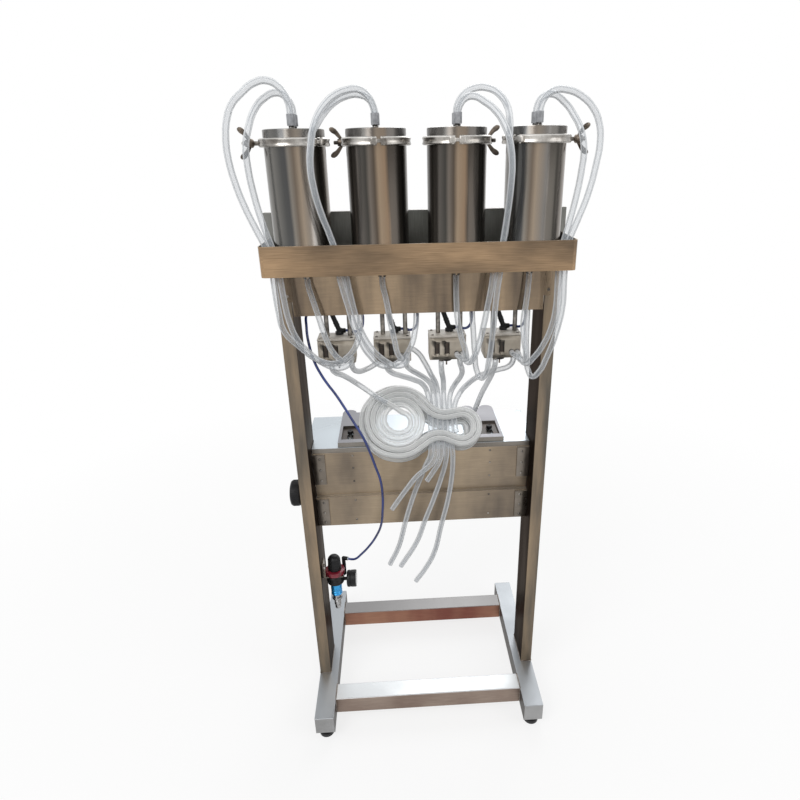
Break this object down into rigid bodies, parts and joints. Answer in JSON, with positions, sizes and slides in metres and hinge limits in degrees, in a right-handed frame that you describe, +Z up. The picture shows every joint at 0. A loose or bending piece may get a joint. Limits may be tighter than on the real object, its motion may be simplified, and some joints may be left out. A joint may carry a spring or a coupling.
{
  "type": "pneumatic liquid filling machine",
  "caption": "Floor-standing pneumatic liquid filler: lidded product cylinders in a tray over pinch valves, a bridge with guide plates, coiled delivery hose and an air regulator.",
  "frame": {"origin": "on the floor, midway between the foot rails and midway along them", "axes": "+Z up, front towards -Y, +X to the right of someone facing the front"},
  "size_m": [0.7079, 0.48, 1.5495],
  "materials": {
    "brushed_steel": "brushed, warm reflections",
    "satin_steel": "satin",
    "dark_sheet": "brushed, in shade",
    "polished_steel": "polished stainless",
    "cast_steel": "cast and tumbled",
    "moulded_valve": "moulded",
    "black_plastic": "moulded",
    "foot_rubber": "matt",
    "red_plastic": "gloss",
    "white_paint": "matt",
    "blue_anodised": "anodised",
    "clear_hose": "milky, see-through silicone",
    "blue_air_tube": "gloss"
  },
  "bodies": {
    "stand": {"levelling_foot_1": "foot_rubber", "levelling_foot_2": "foot_rubber", "levelling_foot_3": "foot_rubber", "levelling_foot_4": "foot_rubber", "left_foot_rail": "satin_steel", "right_foot_rail": "satin_steel", "front_cross_rail": "satin_steel", "rear_cross_rail": "satin_steel", "shelf_plate": "satin_steel", "slide_valve_body": "satin_steel", "left_upright": "brushed_steel", "right_upright": "brushed_steel", "cylinder_tray": "brushed_steel", "valve_panel": "brushed_steel", "upper_beam": "brushed_steel", "lower_beam": "brushed_steel", "back_panel": "dark_sheet", "cylinder_1": "polished_steel", "cylinder_2": "polished_steel", "cylinder_3": "polished_steel", "cylinder_4": "polished_steel", "lid_1": "polished_steel", "lid_2": "polished_steel", "lid_3": "polished_steel", "lid_4": "polished_steel", "lid_clamp_1": "polished_steel", "lid_clamp_2": "polished_steel", "lid_clamp_3": "polished_steel", "lid_clamp_4": "polished_steel", "valve_rail": "cast_steel", "regulator_bracket": "cast_steel", "valve_block_1": "moulded_valve", "valve_block_2": "moulded_valve", "valve_block_3": "moulded_valve", "valve_block_4": "moulded_valve", "regulator_body": "black_plastic", "pressure_gauge": "black_plastic", "regulator_lock_ring": "red_plastic", "hoses_1": "clear_hose", "hoses_2": "clear_hose", "hoses_3": "clear_hose", "hoses_4": "clear_hose", "delivery_hose_1": "clear_hose", "delivery_hoses": "clear_hose", "hose_hank": "clear_hose", "air_tubes": "blue_air_tube"},
    "wing_nut_1": {"wing_nut_1": "cast_steel"},
    "wing_nut_2": {"wing_nut_2": "cast_steel"},
    "wing_nut_3": {"wing_nut_3": "cast_steel"},
    "wing_nut_4": {"wing_nut_4": "cast_steel"},
    "pinch_piston_1": {"pinch_piston_1": "cast_steel"},
    "pinch_piston_2": {"pinch_piston_2": "cast_steel"},
    "pinch_piston_3": {"pinch_piston_3": "cast_steel"},
    "pinch_piston_4": {"pinch_piston_4": "cast_steel"},
    "left_guide_plate": {"left_guide_plate": "cast_steel"},
    "right_guide_plate": {"right_guide_plate": "cast_steel"},
    "hand_knob": {"hand_knob": "black_plastic"},
    "regulator_knob": {"regulator_knob": "black_plastic"},
    "slide_valve_sleeve": {"slide_valve_sleeve": "blue_anodised"},
    "gauge_needle": {"gauge_needle": "white_paint"}
  },
  "joints": [
    {"name": "wing_nut_1_turn", "type": "hinge", "parent": "stand", "child": "wing_nut_1", "pos_m": [-0.31647, -0.09715, 1.44445], "axis": [-0.7071, -0.7071, 0], "range_deg": [0, 720]},
    {"name": "wing_nut_2_turn", "type": "hinge", "parent": "stand", "child": "wing_nut_2", "pos_m": [-0.14753, -0.04594, 1.44445], "axis": [-0.9962, -0.0872, 0], "range_deg": [0, 720]},
    {"name": "wing_nut_3_turn", "type": "hinge", "parent": "stand", "child": "wing_nut_3", "pos_m": [0.14753, -0.04594, 1.44445], "axis": [0.9962, -0.0872, 0], "range_deg": [0, 720]},
    {"name": "wing_nut_4_turn", "type": "hinge", "parent": "stand", "child": "wing_nut_4", "pos_m": [0.31647, -0.09715, 1.44445], "axis": [0.7071, -0.7071, 0], "range_deg": [0, 720]},
    {"name": "pinch_piston_1_stroke", "type": "slide", "parent": "stand", "child": "pinch_piston_1", "axis": [0, 0, -1], "range_m": [0, 0.006], "stiffness_N_per_m": 2000},
    {"name": "pinch_piston_2_stroke", "type": "slide", "parent": "stand", "child": "pinch_piston_2", "axis": [0, 0, -1], "range_m": [0, 0.006], "stiffness_N_per_m": 2000},
    {"name": "pinch_piston_3_stroke", "type": "slide", "parent": "stand", "child": "pinch_piston_3", "axis": [0, 0, -1], "range_m": [0, 0.006], "stiffness_N_per_m": 2000},
    {"name": "pinch_piston_4_stroke", "type": "slide", "parent": "stand", "child": "pinch_piston_4", "axis": [0, 0, -1], "range_m": [0, 0.006], "stiffness_N_per_m": 2000},
    {"name": "left_guide_slide", "type": "slide", "parent": "stand", "child": "left_guide_plate", "axis": [0, 1, 0], "range_m": [0, 0.03]},
    {"name": "right_guide_slide", "type": "slide", "parent": "stand", "child": "right_guide_plate", "axis": [0, 1, 0], "range_m": [0, 0.03]},
    {"name": "hand_knob_turn", "type": "hinge", "parent": "stand", "child": "hand_knob", "pos_m": [-0.315, -0.045, 0.641], "axis": [-1, 0, 0], "range_deg": [0, 360]},
    {"name": "regulator_knob_turn", "type": "hinge", "parent": "stand", "child": "regulator_knob", "pos_m": [-0.239, -0.05, 0.42], "axis": [0, 0, 1], "range_deg": [0, 360]},
    {"name": "slide_valve_shift", "type": "slide", "parent": "stand", "child": "slide_valve_sleeve", "axis": [0, 0, -1], "range_m": [0, 0.009]},
    {"name": "gauge_needle_turn", "type": "hinge", "parent": "stand", "child": "gauge_needle", "pos_m": [-0.187, -0.05, 0.369], "axis": [-1, 0, 0], "range_deg": [0, 270]}
  ],
  "couplings": [
    {"joint": "pinch_piston_2_stroke", "follows": "pinch_piston_1_stroke", "ratio": 1},
    {"joint": "pinch_piston_3_stroke", "follows": "pinch_piston_1_stroke", "ratio": 1},
    {"joint": "pinch_piston_4_stroke", "follows": "pinch_piston_1_stroke", "ratio": 1}
  ]
}
